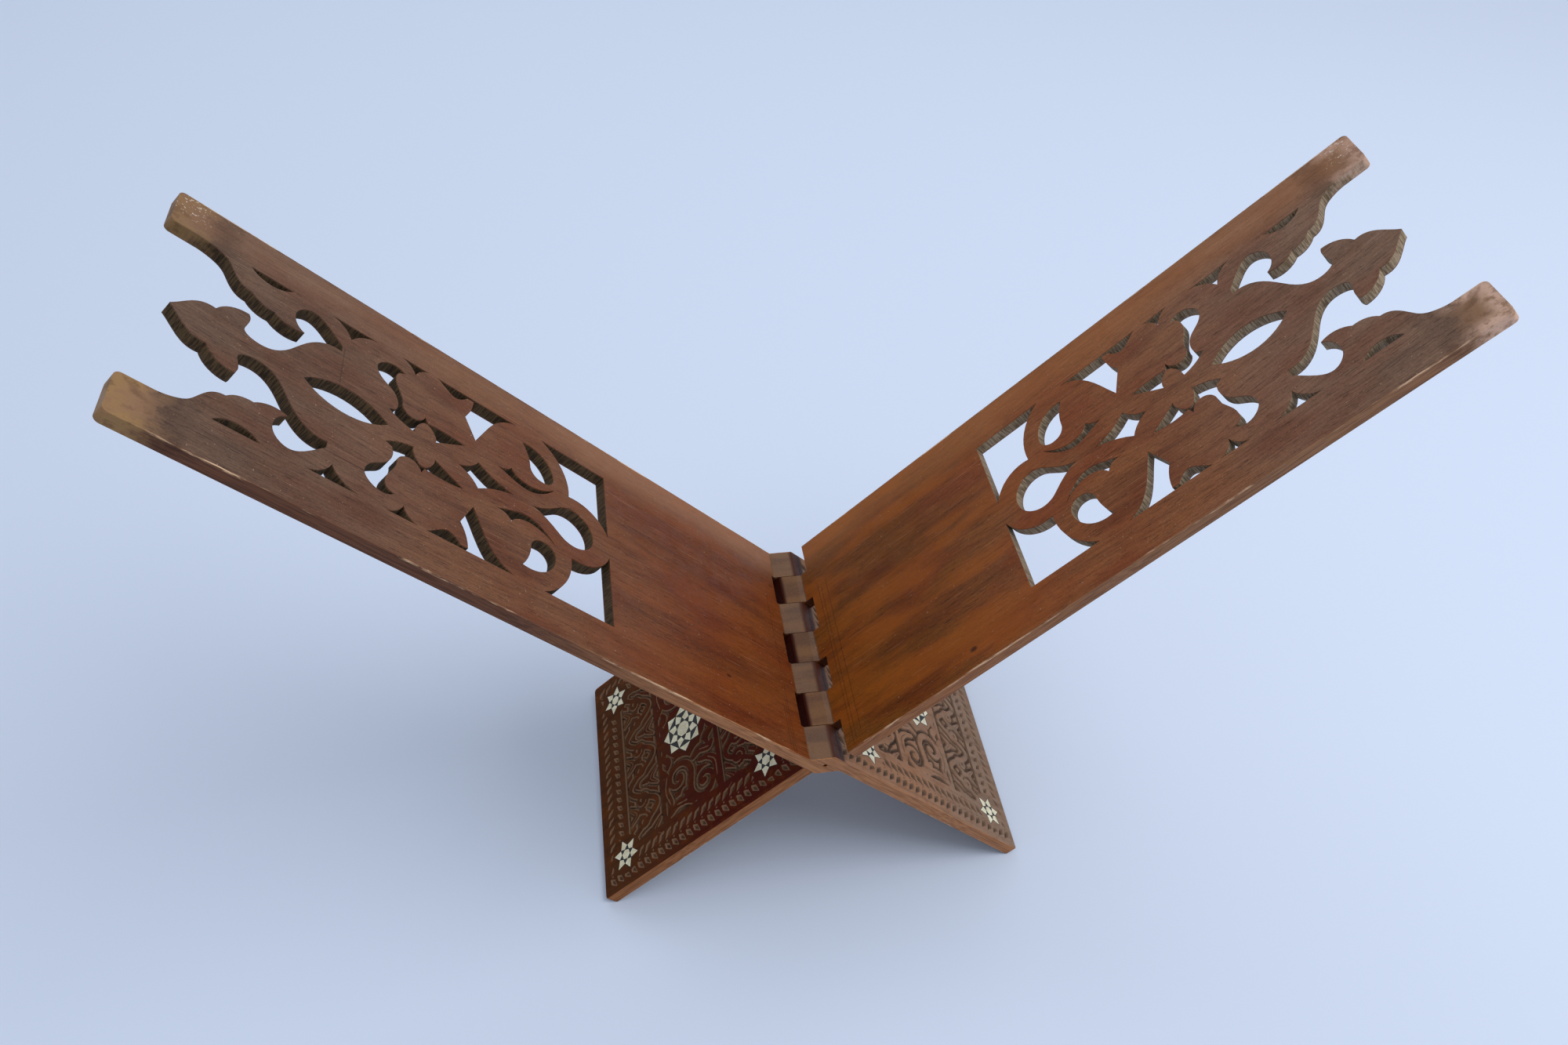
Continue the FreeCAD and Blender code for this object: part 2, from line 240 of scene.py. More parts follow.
class Wood(Shader):
    """Old oiled plank: grain along the board, worn arrises and tips, raw sawn and carved wood."""

    def __init__(self, leaf):
        super().__init__("wood_" + leaf)
        self.leaf = leaf
        self.tone = TONES[leaf]
        self.pos = leaf_position(self, leaf)
        self.s, self.y, self.m = self.split(self.pos)
        self.side = self.math("ABSOLUTE", self.y)
        self.make_patterns()
        self.make_areas()

    def make_patterns(self):
        """Noise shared by several parts of the plank, from broad to fine."""
        drift = self.noise(self.stretch(self.pos, (0.006, 0.02, 0.02)), detail=2)
        grain_y = self.math("ADD", self.y, self.times(drift, 26.0))
        self.clouds = self.noise(self.stretch(self.pos, (0.02, 0.045, 0.045)), detail=3)
        self.bands = self.noise(self.along(grain_y, 0.011, 0.30), detail=4, rough=0.62)
        self.blotch = self.noise(self.pos, 0.14, detail=4, rough=0.65)
        self.specks = self.noise(self.pos, 0.75, detail=2, rough=0.8)
        self.fine = self.noise(self.along(grain_y, 0.05, 1.6), detail=3, rough=0.6)
        self.pores = self.noise(self.along(self.y, 0.19, 2.1), detail=1)
        self.grit = self.noise(self.pos, 1.1, detail=4, rough=0.7)
        self.teeth = self.noise(self.stretch(self.pos, (1.5, 1.5, 0.12)), detail=2, rough=0.7)
        self.outwards = self.math("ADD", self.s,
                                  self.math("MULTIPLY_ADD", self.clouds, 70.0, -35.0))

    def along(self, across, lengthwise, crosswise):
        """Coordinates of streaks that run along the plank."""
        return self.join(self.times(self.s, lengthwise), self.times(across, crosswise),
                         self.times(self.m, crosswise))

    def make_areas(self):
        """Masks of the leg, the reading face, the sawn walls and the dug ground."""
        m = self.m
        self.leg = self.step(m, 0.4, 0.9)
        self.reading = self.times(self.step(m, READING_FACE - 0.2, READING_FACE - 0.05),
                                  self.step(m, 0.5, 0.0))
        window = self.times(self.step(self.side, WINDOW_HALF + 0.6, WINDOW_HALF + 0.1),
                            self.step(self.s, WINDOW_START - 3.5, WINDOW_START - 0.4))
        between_faces = self.times(self.step(m, READING_FACE - 0.25, READING_FACE - 0.65),
                                   self.step(m, 0.15 - OUTER, 0.7 - OUTER))
        self.sawn = self.times(window, between_faces)
        self.depth = self.math("SUBTRACT", OUTER, m)
        carved_field = self.times(self.step(self.side, HALF_WIDTH - 2.2, HALF_WIDTH - 2.5),
                                  self.step(self.s, -3.2, -3.6))
        self.dug = self.times(self.step(self.depth, 0.08, 0.3), carved_field, self.leg,
                              self.step(self.depth, 1.6, 1.4))

    def board_colour(self):
        """The plank from the hinge outwards, with its grain, stains, orange glow and a painted
        sheen on the far rail.
        """
        tone = self.tone
        base = self.mix(self.step(self.outwards, 60, 150), tone["hinge"], tone["middle"])
        base = self.mix(self.step(self.outwards, 170, 290), base, tone["outer"])
        base = self.mix(self.step(self.clouds, 0.42, 0.66, 0, 0.45), base, "9a5a2a",
                        "SOFT_LIGHT")
        stain = self.noise(self.stretch(self.pos, (0.008, 0.05, 0.05), (9, 3, 0)), detail=5,
                           rough=0.6)
        for pattern, low, high, share, dark in (
                (self.bands, 0.42, 0.72, 0.22, "6a4028"),
                (self.grit, 0.38, 0.62, 0.22, "6a5040"),
                (self.fine, 0.40, 0.70, 0.30, "7a5038"),
                (self.pores, 0.58, 0.74, 0.48, "2c1a10"),
                (stain, 0.50, 0.70, 0.32, "6a4028")):
            base = self.mix(self.step(pattern, low, high, 0, share), base, dark, "MULTIPLY")
        glow = self.noise(self.stretch(self.pos, (0.012, 0.05, 0.05), (2, 7, 0)), detail=4,
                          rough=0.55)
        glow = self.times(self.step(glow, 0.44, 0.62), self.step(self.s, 175, 90), tone["glow"])
        base = self.mix(glow, base, "a05410")
        # Painted sheen: the far rail is lightened towards the back, on leaf a less so further out.
        far_rail_sheen = self.times(self.step(self.y, 40, 60, 0, 0.36),
                              self.step(self.s, 220, 70, tone["rail_sheen_out"], 1))
        return self.mix(far_rail_sheen, base, tone["rail_sheen"])

    def leg_colour(self, base):
        """The carved outer face of the leg, browner towards the foot. On leaf b it is set much
        darker and darkest near the hinge, partly its wood and partly painted shade under the
        board.
        """
        tone = self.tone
        lower = self.math("ADD", self.s, self.math("MULTIPLY_ADD", self.clouds, 80.0, -40.0))
        # On leaf b these tones carry painted shade as well as the wood's colour.
        carved = self.mix(self.step(lower, -60, -120), tone["carved"], tone["carved_foot"])
        carved = self.mix(self.step(self.blotch, 0.45, 0.7, 0, 0.3), carved, base)
        carved = self.mix(self.step(self.bands, 0.45, 0.7, 0, 0.3), carved, "3a2418",
                          "MULTIPLY")
        return self.mix(self.times(self.leg, self.step(self.s, -1.0, -6.0)), base, carved)

    def fret_walls(self, base):
        """Raw sawn walls of the fretwork, ribbed by the blade."""
        tone = self.tone
        raw = self.mix(self.step(self.teeth, 0.36, 0.64), tone["wall_dark"], tone["wall"])
        raw = self.mix(self.step(self.grit, 0.5, 0.75, 0, 0.4), raw, tone["wall"])
        return self.mix(self.sawn, base, raw)

    def knuckles(self, base):
        """Flat tops rubbed to a dull taupe, with painted shade on the board ends and in the slots
        between them.
        """
        level = self.math("ABSOLUTE", self.math("ADD", self.times(self.s, math.sin(SLOPE)),
                                                self.times(self.m, math.cos(SLOPE))))
        top = self.times(self.step(level, KNUCKLE_HALF - 0.6, KNUCKLE_HALF - 0.2),
                         self.step(self.math("ABSOLUTE", self.s), 11.8, 11.0),
                         self.step(level, KNUCKLE_HALF + 0.7, KNUCKLE_HALF + 0.2))
        worn = self.mix(self.step(self.fine, 0.42, 0.62, 0, 0.5), KNUCKLE_TONE, "4f3a2e")
        patch = self.noise(self.stretch(self.pos, (0.02, 0.09, 0.02), (0, 5, 0)), detail=3)
        worn = self.mix(self.step(patch, 0.42, 0.6, 0, 0.6), worn, "75583f")
        worn = self.mix(self.step(self.grit, 0.56, 0.72, 0, 0.5), worn, "3c2a20")
        base = self.mix(self.times(top, 0.9), base, worn)
        # Painted shade: the board's end face beside the knuckles is darkened.
        board_end_shade = self.times(self.step(self.s, 13.6, 12.9),
                               self.step(self.m, READING_FACE - 0.15, READING_FACE - 0.5))
        base = self.mix(self.times(board_end_shade, 0.8), base, "300c04")
        # Painted shade: the top of the leg, by the slots between the knuckles, is darkened.
        slot_shade_area = self.times(self.step(self.s, -8.0, -5.0),
                             self.step(self.m, OUTER - 1.7, OUTER - 0.3))
        return self.mix(slot_shade_area, base, self.tone["slot_shade"])

    def line(self, across, at, width, along, low, high, fade):
        """A thin line at one place across, between low and high along it."""
        return self.times(self.bump_at(across, at, width), self.step(along, low - fade, low),
                          self.step(along, high + fade, high))

    def marks(self, base):
        """Scribed lines beside the hinge, mended cracks, knots, dust and fine scratches."""
        scribed = 0.0
        for at_s, low, high in SCRIBED[self.leaf]:
            scribed = self.math("MAXIMUM", scribed, self.line(self.s, at_s, SCRIBE_WIDTH,
                                                              self.y, low, high, 3))
        base = self.mix(self.times(scribed, self.reading, 0.42), base, "200f07")
        for low, high, at_y in MENDS[self.leaf]:
            crack = self.line(self.y, at_y, MEND_WIDTH, self.s, low, high, 1)
            base = self.mix(self.times(crack, 0.7), base, "1c0e08")
        for knot_s, knot_y, size in KNOTS[self.leaf]:
            away_s = self.times(self.math("SUBTRACT", self.s, knot_s), 0.6)
            away_y = self.math("SUBTRACT", self.y, knot_y)
            away = self.math("SQRT", self.math("ADD", self.math("POWER", away_s, 2.0),
                                               self.math("POWER", away_y, 2.0)))
            base = self.mix(self.step(away, size, size * 0.3, 0, 0.8), base, "1e0a05")
        dust = self.times(self.step(self.specks, 0.69, 0.74), self.reading, 0.5)
        base = self.mix(dust, base, "b99a80")
        slanted = self.node("Mapping", {"Vector": self.pos, "Rotation": (0, 0, 0.5),
                                        "Scale": (0.03, 2.2, 0.4)}).outputs[0]
        scratch = self.step(self.noise(slanted, detail=1), 0.72, 0.78)
        return self.mix(self.times(scratch, self.reading, 0.25), base, "c39c7c")

    def carved_ground(self, base):
        """Chip sides and the dug ground under the leg's outer face, darker with depth as painted
        shade in the hollows.
        """
        tone = self.tone
        dusty = self.step(self.math("ADD", self.blotch, self.times(self.grit, 0.4)), 0.48, 0.78)
        # Painted shade: the cuts turn darker the deeper they go.
        ground = self.mix(self.step(self.depth, 0.62, 1.08), tone["cut"], tone["ground"])
        ground = self.mix(self.times(dusty, 0.45), ground, tone["cut"])
        return self.mix(self.dug, base, ground)

    def long_edges(self, base):
        """Edge wood, lighter near the hinge and darker further out, the darkening painted shade on
        the side faces, with a pale rubbed arris.
        """
        tone = self.tone
        edge = self.step(self.side, HALF_WIDTH - 0.55, HALF_WIDTH - 0.25)
        # Painted shade: the side faces darken further out from the hinge.
        wood = self.mix(self.step(self.outwards, 50, 190), tone["edge"], tone["edge_out_and_shade"])
        wood = self.mix(self.step(self.fine, 0.40, 0.62, 0, 0.5), wood, "7a5a48", "MULTIPLY")
        base = self.mix(edge, base, wood)
        rub = self.noise(self.stretch(self.pos, (0.05, 0.6, 0.6)), detail=4, rough=0.75)
        rubbed = self.times(self.step(self.math("ABSOLUTE", self.m), 2.0, 1.5),
                            self.step(self.side, HALF_WIDTH - 0.9, HALF_WIDTH - 0.2),
                            self.step(rub, 0.50, 0.62),
                            self.step(self.math("ABSOLUTE", self.s), 8.0, 16.0))
        return self.mix(rubbed, base, tone["rub"])

    def horn_tips(self, base):
        """Tips polished pale by hands, smudged dark behind, with painted glints of light near the
        far tips.
        """
        reach = self.math("ADD", self.s, self.math("MULTIPLY_ADD", self.blotch, 22.0, -11.0))
        on_horn = self.step(self.side, 30, 42)
        smudge = self.times(self.bump_at(reach, BOARD_LENGTH - 21, 10.0), on_horn, 0.3)
        base = self.mix(smudge, base, "4a3024", "MULTIPLY")
        rim = self.math("MAXIMUM", self.step(self.side, HALF_WIDTH - 7, HALF_WIDTH - 1.5),
                        self.step(self.side, WINDOW_HALF + 5, WINDOW_HALF + 1))
        rim = self.math("MAXIMUM", self.step(self.s, BOARD_LENGTH - 9, BOARD_LENGTH - 2), rim)
        rim = self.times(rim, self.step(self.blotch, 0.30, 0.5))
        tip_wood = self.mix(rim, "86664c", self.tone["tip"])
        tip_wood = self.mix(self.step(self.blotch, 0.5, 0.65, 0, 0.5), tip_wood, "543a28")
        horn = self.times(self.step(reach, BOARD_LENGTH - 21, BOARD_LENGTH - 8), on_horn,
                          self.step(self.y, 20, 40, 0.92, 0.6))
        base = self.mix(horn, base, tip_wood)
        # Painted highlight: small pale glints on the far tips.
        painted_glint = self.times(self.step(self.specks, 0.60, 0.66), self.step(self.y, 50, 56),
                           self.reading, self.step(reach, 318, 326), 0.7)
        return self.mix(painted_glint, base, "dcd2c8")

    def surface_feel(self):
        """Shine, roughness and the fine relief of pores, saw marks and dug ground."""
        inputs = self.surface.inputs
        self.put(inputs["Specular IOR Level"],
                 self.step(self.leg, 0.2, 0.8, BOARD_SHINE, self.tone["leg_shine"]))
        oiled = self.step(self.blotch, 0.35, 0.7, 0.46, 0.62)
        raw = self.times(self.math("ADD", self.sawn, self.dug), 0.9)
        self.put(inputs["Roughness"], self.math("MAXIMUM", oiled, raw))
        height = self.times(self.step(self.pores, 0.58, 0.72), -0.5)
        for part in (self.times(self.fine, 0.5), self.times(self.teeth, self.sawn, 2.0),
                     self.times(self.grit, self.dug, 1.2)):
            height = self.math("ADD", height, part)
        bump = self.node("Bump", {"Height": height, "Distance": WOOD_BUMP, "Strength": 1.0})
        self.put(inputs["Normal"], bump.outputs[0])

    def build(self):
        base = self.board_colour()
        for layer in (self.leg_colour, self.fret_walls, self.knuckles, self.marks,
                      self.carved_ground, self.long_edges, self.horn_tips):
            base = layer(base)
        self.put(self.surface.inputs["Base Color"], base)
        self.surface_feel()
        return self.material


def nacre():
    """Mother-of-pearl: cream, with faint green and pink bands that change from chip to chip."""
    sh = Shader("nacre")
    pos = sh.node("TexCoord").outputs["Object"]
    patch = sh.noise(pos, 240.0, detail=1)
    wave = sh.noise(pos, 900.0, detail=3, rough=0.6, distort=1.0)
    base = sh.mix(sh.step(patch, 0.38, 0.62), "cfc59e", "e6dfbd")
    base = sh.mix(sh.step(wave, 0.45, 0.6, 0, 0.5), base, "c6d0bd")
    base = sh.mix(sh.step(wave, 0.56, 0.7, 0, 0.5), base, "e6d0c8")
    grime = sh.noise(pos, 1500.0, detail=3)
    base = sh.mix(sh.step(grime, 0.6, 0.74, 0, 0.5), base, "8a7c62")
    sh.put(sh.surface.inputs["Base Color"], base)
    sh.put(sh.surface.inputs["Roughness"], sh.step(wave, 0.3, 0.7, 0.18, 0.36))
    sh.put(sh.surface.inputs["Coat Weight"], 0.35)
    sh.put(sh.surface.inputs["Coat Roughness"], 0.15)
    bump = sh.node("Bump", {"Height": wave, "Distance": 0.00006, "Strength": 0.6})
    sh.put(sh.surface.inputs["Normal"], bump.outputs[0])
    return sh.material


def mastic():
    """Black filler, a little dusty."""
    sh = Shader("black_mastic")
    pos = sh.node("TexCoord").outputs["Object"]
    dust = sh.noise(pos, 1100.0, detail=4, rough=0.7)
    base = sh.mix(sh.step(dust, 0.58, 0.78, 0, 0.5), "060505", "2e2721")
    sh.put(sh.surface.inputs["Base Color"], base)
    sh.put(sh.surface.inputs["Roughness"], sh.step(dust, 0.4, 0.7, 0.45, 0.8))
    bump = sh.node("Bump", {"Height": dust, "Distance": 0.0001, "Strength": 0.7})
    sh.put(sh.surface.inputs["Normal"], bump.outputs[0])
    return sh.material


def pin_iron():
    """Darkened iron wire."""
    sh = Shader("pin_iron")
    pos = sh.node("TexCoord").outputs["Object"]
    rust = sh.noise(pos, 900.0, detail=4, rough=0.7)
    sh.put(sh.surface.inputs["Base Color"],
           sh.mix(sh.step(rust, 0.45, 0.65), "2b2622", "5a3420"))
    sh.put(sh.surface.inputs["Metallic"], 1.0)
    sh.put(sh.surface.inputs["Roughness"], sh.step(rust, 0.4, 0.7, 0.4, 0.75))
    return sh.material


# ---- carved relief ----

# Millimetres on the leg: u down the leg from the pin, y along the pin.
RELIEF_STEP = 0.45          # grid of the carved field
FIELD_TOP = 3.5             # the carved field, from under the hinge to just above the foot
FIELD_END = 138.5
FIELD_HALF = 63.5
FIELD_START = 7.3           # where the field is clear of the other leaf's knuckles
KNUCKLE_ROOM = 0.5          # plain wood kept beside those knuckles
CUT_DEPTH = 1.12
CUT_WALL = 0.45             # width of a cut's sloping wall
LEAST_CUT = 0.03
FLOOR_DEPTH = 1.27          # just above the recess that the plank has under the relief
STROKE_REACH = 4.5          # how far around a stroke its distance is worked out
VEIN_REACH = 2.0
FAR = 9.0                   # a distance beyond any reach
ISLAND_START = 1.5          # wood left standing this far from the forms
ISLAND_SLOPE = 0.5
SEAT_SLOPE = 0.4
SEAT_RADIUS = {"rosette": 15.6, "star": 10.1}
PANELS = [(30.7, 55.3), (57.7, 94.8), (97.2, 122.1)]
PANEL_HALF = 45.8


def smooth_path(points, spacing=0.4):
    """A smooth curve through the points, sampled closely."""
    pts = np.array(points, float)
    if len(pts) < 3:
        pts = np.array([pts[0], (pts[0] + pts[-1]) / 2, pts[-1]])
    ends = np.vstack([2 * pts[0] - pts[1], pts, 2 * pts[-1] - pts[-2]])
    out = []
    for p0, p1, p2, p3 in zip(ends, ends[1:], ends[2:], ends[3:]):
        count = max(2, int(np.linalg.norm(p2 - p1) / spacing))
        t = np.linspace(0, 1, count, endpoint=False)[:, None]
        out.append(0.5 * (2 * p1 + (p2 - p0) * t + (2 * p0 - 5 * p1 + 4 * p2 - p3) * t ** 2
                          + (3 * p1 - p0 - 3 * p2 + p3) * t ** 3))
    return np.vstack(out + [pts[-1:]])


def spiral(centre, inner, outer_radius, turns, end_angle, way):
    """Spiral from its eye outwards, ending at end_angle; way is +1 or -1."""
    t = np.linspace(0, 1, int(16 * turns) + 2)
    angle = end_angle - way * 2 * math.pi * turns * (1 - t)
    radius = inner + (outer_radius - inner) * t
    return np.stack([centre[0] + radius * np.cos(angle), centre[1] + radius * np.sin(angle)], 1)


def s_scroll(c1, c2, turns=1.2, inner=1.3, share=0.46):
    """Two curls wound opposite ways and joined by a straight stem."""
    span = np.subtract(c2, c1)
    gap = np.hypot(*span)
    radius = share * gap
    angle = math.atan2(span[1], span[0]) + math.acos(min(1.0, 2 * radius / gap))
    first = spiral(c1, inner, radius, turns, angle, -1)
    second = spiral(c2, inner, radius, turns, angle + math.pi, -1)
    return np.vstack([first, second[::-1]])


class Field:
    """Height field of one leg's carving: u down the leg, y along the pin, millimetres."""

    def __init__(self):
        self.u = np.arange(FIELD_TOP, FIELD_END + 0.01, RELIEF_STEP)
        self.y = np.linspace(-FIELD_HALF, FIELD_HALF, int(2 * FIELD_HALF / RELIEF_STEP) + 1)
        shape = (len(self.u), len(self.y))
        self.height = np.zeros(shape)
        self.form = np.full(shape, FAR)

    def window(self, low, high):
        i0, i1 = np.searchsorted(self.u, (low[0], high[0]))
        j0, j1 = np.searchsorted(self.y, (low[1], high[1]))
        part = (slice(i0, i1), slice(j0, j1))
        return part, self.u[i0:i1, None], self.y[None, j0:j1]

    def chip(self, corners, steep=1.0, deepest=1.0):
        """Cut a chip with straight sides that slope down to the middle."""
        pts = np.array(corners, float)
        part, u, y = self.window(pts.min(0), pts.max(0))
        if u.size == 0 or y.size == 0:
            return
        centre = pts.mean(0)
        inside = np.full((u.shape[0], y.shape[1]), FAR)
        for (au, ay), (bu, by) in zip(pts, np.roll(pts, -1, 0)):
            run = math.hypot(bu - au, by - ay)
            nu, ny = -(by - ay) / run, (bu - au) / run
            if nu * (centre[0] - au) + ny * (centre[1] - ay) < 0:
                nu, ny = -nu, -ny
            inside = np.minimum(inside, nu * (u - au) + ny * (y - ay))
        cut = np.clip(inside * steep, 0, deepest)
        self.height[part] = np.minimum(self.height[part], -cut)

    def near(self, path, widths, reach):
        """Distance to a stroke's edge, in the window that holds the stroke."""
        path = np.asarray(path)
        low, high = path.min(0) - reach, path.max(0) + reach
        part, u, y = self.window(low, high)
        best = np.full((u.shape[0], y.shape[1]), FAR)
        half = np.interp(np.linspace(0, 1, len(path)), np.linspace(0, 1, len(widths)),
                         np.array(widths) / 2)
        for (pu, py), w in zip(path, half):
            best = np.minimum(best, np.hypot(u - pu, y - py) - w)
        return part, best

    def stroke(self, points, widths, smooth=True):
        """A raised stem or leaf, flat on top."""
        path = smooth_path(points) if smooth else points
        part, best = self.near(path, widths, STROKE_REACH)
        self.form[part] = np.minimum(self.form[part], best)

    def vein(self, points, width=1.0, deepest=0.5):
        """A narrow V cut along a line."""
        part, best = self.near(smooth_path(points), (0, 0), VEIN_REACH)
        cut = np.clip((width / 2 - best) * 2 * deepest / width, 0, deepest)
        self.height[part] = np.minimum(self.height[part], -cut)

    def dig_ground(self, low, high, rng):
        """Lower everything between the forms inside one panel."""
        part, u, y = self.window(low, high)
        form = self.form[part]
        edge = np.minimum(np.minimum(u - low[0], high[0] - u), np.minimum(y - low[1], high[1] - y))
        away = np.minimum(form, np.maximum(edge, 0))
        wall = np.clip(away / CUT_WALL, 0, 1)
        island = np.clip((away - ISLAND_START) / ISLAND_SLOPE, 0, 1)
        rough = 0.1 * rng.random(form.shape)
        cut = (CUT_DEPTH - rough) * wall * (1 - island)
        self.height[part] = np.minimum(self.height[part], -cut)


def carve_scroll_panel(field):
    """Middle panel: an S-scroll and leaves each side of the rosette."""
    for way in (1, -1):
        flip = np.array((1, way))
        main = s_scroll((67.6, 37.0), (84.8, 26.2), turns=1.15)
        field.stroke(main * flip, (2.4, 2.9, 3.3, 3.8, 3.3, 2.9, 2.4))
        for eye in ((67.6, 37.0), (84.8, 26.2)):
            field.stroke(np.array([eye, eye]) * flip, (3.4, 3.4))
        stems = [
            [(58.0, 46.0), (58.8, 38.5), (59.2, 30.0), (63.5, 25.5), (69.5, 24.0)],
            [(95.0, 17.0), (92.5, 22.0), (94.0, 30.0), (91.5, 38.0), (94.0, 46.0)],
            [(76.0, 44.5), (80.5, 41.2), (87.0, 40.6), (91.5, 43.5)],
            [(60.0, 18.0), (62.5, 20.0), (68.5, 18.4), (73.5, 20.8)],
            [(58.5, 10.0), (63.5, 13.4), (62.8, 17.0)],
            [(94.0, 10.0), (90.5, 13.6), (91.5, 17.0)],
            [(81.0, 36.5), (77.0, 41.0), (71.5, 45.2)],
            [(57.7, 0.0), (60.6, 5.0), (59.4, 9.5)],
            [(94.8, 0.0), (92.0, 5.0), (93.6, 9.5)],
        ]
        for stem in stems:
            field.stroke(np.array(stem) * flip, (2.4, 4.0, 4.4, 3.6, 2.2))
        for stem in stems[:4]:
            field.vein(np.array(stem)[1:-1] * flip)


def carve_vine_panel(field, low, high, way_round):
    """Upper or lower panel: a waving vine with a curl in every bend and leaves between."""
    mid = (low + high) / 2
    bend = (high - low) / 2 - 3.2
    reach = 15.27
    for way in (1, -1):
        flip = np.array((1, way))
        y = np.linspace(0, PANEL_HALF, 60)
        wave = np.sin(math.pi * y / reach + math.pi / 2) * way_round
        field.stroke(np.stack([mid + bend * wave, y], 1) * flip, (2.6, 2.9, 2.6), False)
        for i in range(3):
            side = way_round * (1 if i % 2 else -1)
            y0 = reach * (i + 0.5) + (1.6 if side > 0 else -1.6) * way_round
            hub = (mid + side * 1.4 * (i % 2 * 2 - 1) * way_round, y0)
            curl = spiral(hub, 1.0, 4.7, 1.3, -side * math.pi / 2, side)
            field.stroke(curl * flip, (2.4, 2.1, 1.8), False)
        for i in range(4):
            side = way_round * (-1 if i % 2 else 1)
            top = mid - side * (bend + 1.2)
            leaf = [(top, reach * i - 4.6), (mid - side * (bend - 3.4), reach * i),
                    (top, reach * i + 4.6)]
            field.stroke(np.array(leaf) * flip, (1.2, 3.6, 1.2))
            field.vein(np.array(leaf) * flip, 0.8, 0.45)
            bud = [(mid - side * (bend - 6.0), reach * i), (mid - side * (bend - 9.4), reach * i)]
            field.stroke(np.array(bud) * flip, (2.8, 1.2))


def leaning_cut(field, middle, lean, half):
    """A pointed cut round its middle; lean is half its length as (u, y)."""
    middle, lean = np.array(middle), np.array(lean)
    across = np.array((-lean[1], lean[0])) / np.hypot(*lean) * half
    waist = middle - 0.2 * lean
    field.chip([middle - lean, waist + across, middle + lean, waist - across], 1.1)


def carve_border(field):
    """Chip carving round the panels: rows of leaning cuts with small triangles between."""
    for side in (1, -1):
        for i in range(27):
            u0 = 7.0 + i * 4.9
            leaning_cut(field, (u0, side * 52.3), (2.7, side * 3.1), 1.75)
            leaning_cut(field, (u0 + 0.6, side * 59.6), (-2.7, side * 3.1), 1.75)
            field.chip([(u0 + 0.6, side * 55.0), (u0 + 2.4, side * 56.0),
                        (u0 + 0.8, side * 57.0)])
    for i in range(-9, 10):
        y0 = i * 5.0
        leaning_cut(field, (127.6, y0), (2.5, 2.4), 1.55)
        leaning_cut(field, (134.2, y0), (-2.5, 2.4), 1.55)
        for row, lean in ((10.0, -3.0), (17.2, 3.0), (24.2, -3.0)):
            leaning_cut(field, (row, y0), (lean, 2.3), 1.6)


def carved_height(leaf):
    """Height below the outer face over the whole carved field of one leg."""
    rng = np.random.default_rng(7 if leaf == "a" else 8)
    field = Field()
    carve_vine_panel(field, *PANELS[0], 1)
    carve_scroll_panel(field)
    carve_vine_panel(field, *PANELS[2], -1)
    for low, high in PANELS:
        field.dig_ground((low, -PANEL_HALF), (high, PANEL_HALF), rng)
    carve_border(field)
    for u0, y0, radius in seat_places():
        near = np.hypot(field.u[:, None] - u0, field.y[None, :] - y0) - radius
        field.height *= np.clip(near / SEAT_SLOPE, 0, 1)
    field.height = np.minimum(field.height, -LEAST_CUT)
    return field


def seat_places():
    """(u, y, radius) of the plain seats round the inlays, from the inlays' own boxes."""
    seats = []
    for name in frame["nodes"]:
        if name.endswith("_b_mastic"):
            low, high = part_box(name)
            x, y0, z = ((a + b) / 2 / MM for a, b in zip(low, high))
            u0 = -(x * math.cos(SLOPE) + (z - PIN_HEIGHT / MM) * math.sin(SLOPE))
            seats.append((u0, y0, SEAT_RADIUS[name.split("_")[0]]))
    return seats


def slot_ranges(leaf):
    """(low, high) along the pin of the other leaf's knuckles."""
    edges = HALF_WIDTH - np.cumsum([0.0] + KNUCKLE_WIDTHS)
    spans = list(zip(edges[1:], edges))
    return spans[1::2] if leaf == "a" else spans[::2]


def top_faces(field, leaf):
    """Grid squares of the carved surface, less those under the other leaf's knuckles."""
    solid = np.ones((len(field.u) - 1, len(field.y) - 1), bool)
    mid_y = (field.y[:-1] + field.y[1:]) / 2
    early = (field.u[:-1] + field.u[1:]) / 2 < FIELD_START
    for low, high in slot_ranges(leaf):
        column = (mid_y > low - KNUCKLE_ROOM) & (mid_y < high + KNUCKLE_ROOM)
        solid[np.ix_(early, column)] = False
    index = np.arange(field.height.size).reshape(field.height.shape)
    corners = [index[:-1, :-1], index[1:, :-1], index[1:, 1:], index[:-1, 1:]]
    return np.stack([c[solid] for c in corners], 1).tolist()


def rim_loop(faces):
    """The vertices round the outside of the squares, in order."""
    edges = {(q[i], q[(i + 1) % 4]) for q in faces for i in range(4)}
    following = {a: b for a, b in edges if (b, a) not in edges}
    loop = [min(following)]
    while following[loop[-1]] != loop[0]:
        loop.append(following[loop[-1]])
    return loop


def world_points(u, y, m, side):
    """Leg coordinates in millimetres as points in metres; side is +1 for leaf b."""
    x = -u * math.cos(SLOPE) - m * math.sin(SLOPE)
    z = -u * math.sin(SLOPE) + m * math.cos(SLOPE)
    return np.stack([side * x, y, z + PIN_HEIGHT / MM], -1).reshape(-1, 3) * MM


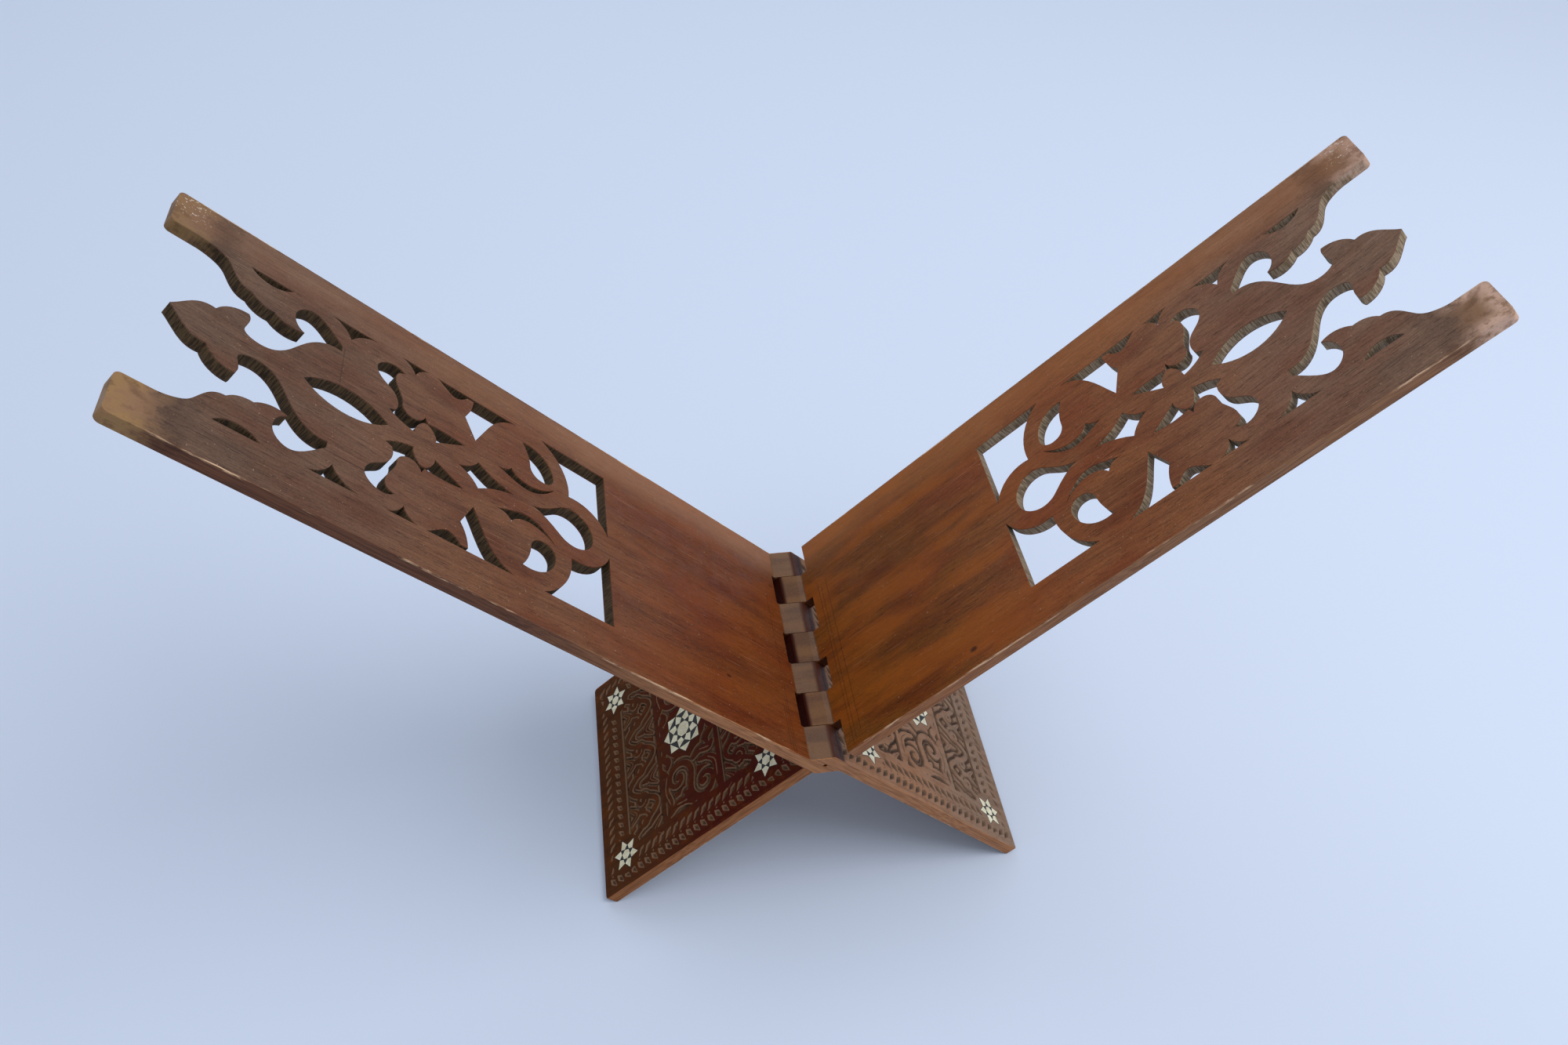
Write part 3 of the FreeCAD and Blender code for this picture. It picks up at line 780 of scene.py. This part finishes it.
def relief(leaf):
    """The carving of one leg as a closed skin that fills the plank's recess."""
    field = carved_height(leaf)
    side = 1 if leaf == "b" else -1
    top = top_faces(field, leaf)
    loop = rim_loop(top)
    under = {v: field.height.size + i for i, v in enumerate(loop)}
    walls = [(b, a, under[a], under[b]) for a, b in zip(loop, loop[1:] + loop[:1])]
    floor = [tuple(under[v] for v in reversed(loop))]
    u, y = np.meshgrid(field.u, field.y, indexing="ij")
    floor_m = np.full(len(loop), OUTER - FLOOR_DEPTH)
    points = np.concatenate([world_points(u, y, OUTER + field.height, side),
                             world_points(u.ravel()[loop], y.ravel()[loop], floor_m, side)])
    faces = top + walls + floor
    if side > 0:
        faces = [f[::-1] for f in faces]
    used = sorted({v for f in faces for v in f})
    place = {v: i for i, v in enumerate(used)}
    mesh = bpy.data.meshes.new("carving_" + leaf)
    mesh.from_pydata(points[used].tolist(), [], [[place[v] for v in f] for f in faces])
    smooth = [True] * (len(faces) - 1) + [False]
    mesh.polygons.foreach_set("use_smooth", smooth)
    piece = bpy.data.objects.new("carving_" + leaf, mesh)
    bpy.context.scene.collection.objects.link(piece)
    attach(piece, "leaf_" + leaf + "_body")
    return piece


# ---- put together ----

WELD_DISTANCE = 0.00001             # metres
FLAT_ANGLE = math.radians(1.0)      # facets closer to flat than this become one face
ARRIS_WIDTH = 0.00035
ARRIS_ANGLE = math.radians(40)
FLOOR_REACH = 40.0
FLOOR_COLOUR = "c7d5ec"
SKY_COLOUR = (0.95, 0.96, 1.0, 1)
SKY_STRENGTH = 0.60
# name: place, size, power, tint
LIGHTS = {
    "key": ((1.1, -0.4, 1.8), 1.7, 25, (1.0, 0.98, 0.95)),
    "fill": ((-0.4, 1.3, 1.7), 1.8, 7, (0.92, 0.96, 1.0)),
}
LIGHT_AIM = Vector((0, 0, 0.15))


def dress_nodes(woods):
    """Materials on every CAD node, and softened arrises on the two leaves."""
    shell, filler, iron = nacre(), mastic(), pin_iron()
    for name, node in frame["nodes"].items():
        node.data.materials.clear()
        if name in ("leaf_a", "leaf_b"):
            node.data.materials.append(woods[name[-1]])
            weld = node.modifiers.new("weld", "WELD")
            weld.merge_threshold = WELD_DISTANCE
            flat = node.modifiers.new("flat", "DECIMATE")
            flat.decimate_type = "DISSOLVE"
            flat.angle_limit = FLAT_ANGLE
            bevel = node.modifiers.new("arris", "BEVEL")
            bevel.width = ARRIS_WIDTH
            bevel.segments = 2
            bevel.limit_method = "ANGLE"
            bevel.angle_limit = ARRIS_ANGLE
            bevel.harden_normals = True
        elif name == "hinge_pin":
            node.data.materials.append(iron)
        elif name.endswith("mastic"):
            node.data.materials.append(filler)
        else:
            node.data.materials.append(shell)


def make_light(name, place, size, power, tint):
    """A round area light aimed at the stand."""
    data = bpy.data.lights.new(name, "AREA")
    data.shape = "DISK"
    data.size = size
    data.energy = power
    data.color = tint
    lamp = bpy.data.objects.new(name, data)
    lamp.location = place
    lamp.rotation_euler = (LIGHT_AIM - Vector(place)).to_track_quat("-Z", "Y").to_euler()
    bpy.context.scene.collection.objects.link(lamp)


def make_floor():
    """Plain pale floor, bluish white."""
    mesh = bpy.data.meshes.new("floor")
    corners = [(-1, -1), (1, -1), (1, 1), (-1, 1)]
    mesh.from_pydata([(x * FLOOR_REACH, y * FLOOR_REACH, 0) for x, y in corners], [],
                     [(0, 1, 2, 3)])
    floor = bpy.data.objects.new("floor", mesh)
    bpy.context.scene.collection.objects.link(floor)
    sh = Shader("floor_paper")
    sh.put(sh.surface.inputs["Base Color"], colour(FLOOR_COLOUR))
    sh.put(sh.surface.inputs["Roughness"], 0.85)
    mesh.materials.append(sh.material)


def make_world():
    """Even, faintly blue light from all round."""
    world = bpy.data.worlds.new("world")
    world.use_nodes = True
    background = world.node_tree.nodes["Background"]
    background.inputs["Color"].default_value = SKY_COLOUR
    background.inputs["Strength"].default_value = SKY_STRENGTH
    bpy.context.scene.world = world


make_camera()
woods = {leaf: Wood(leaf).build() for leaf in "ab"}
dress_nodes(woods)
for leaf in "ab":
    relief(leaf).data.materials.append(woods[leaf])
make_floor()
make_world()
for name, light in LIGHTS.items():
    make_light(name, *light)
bpy.context.scene.view_settings.view_transform = "Standard"
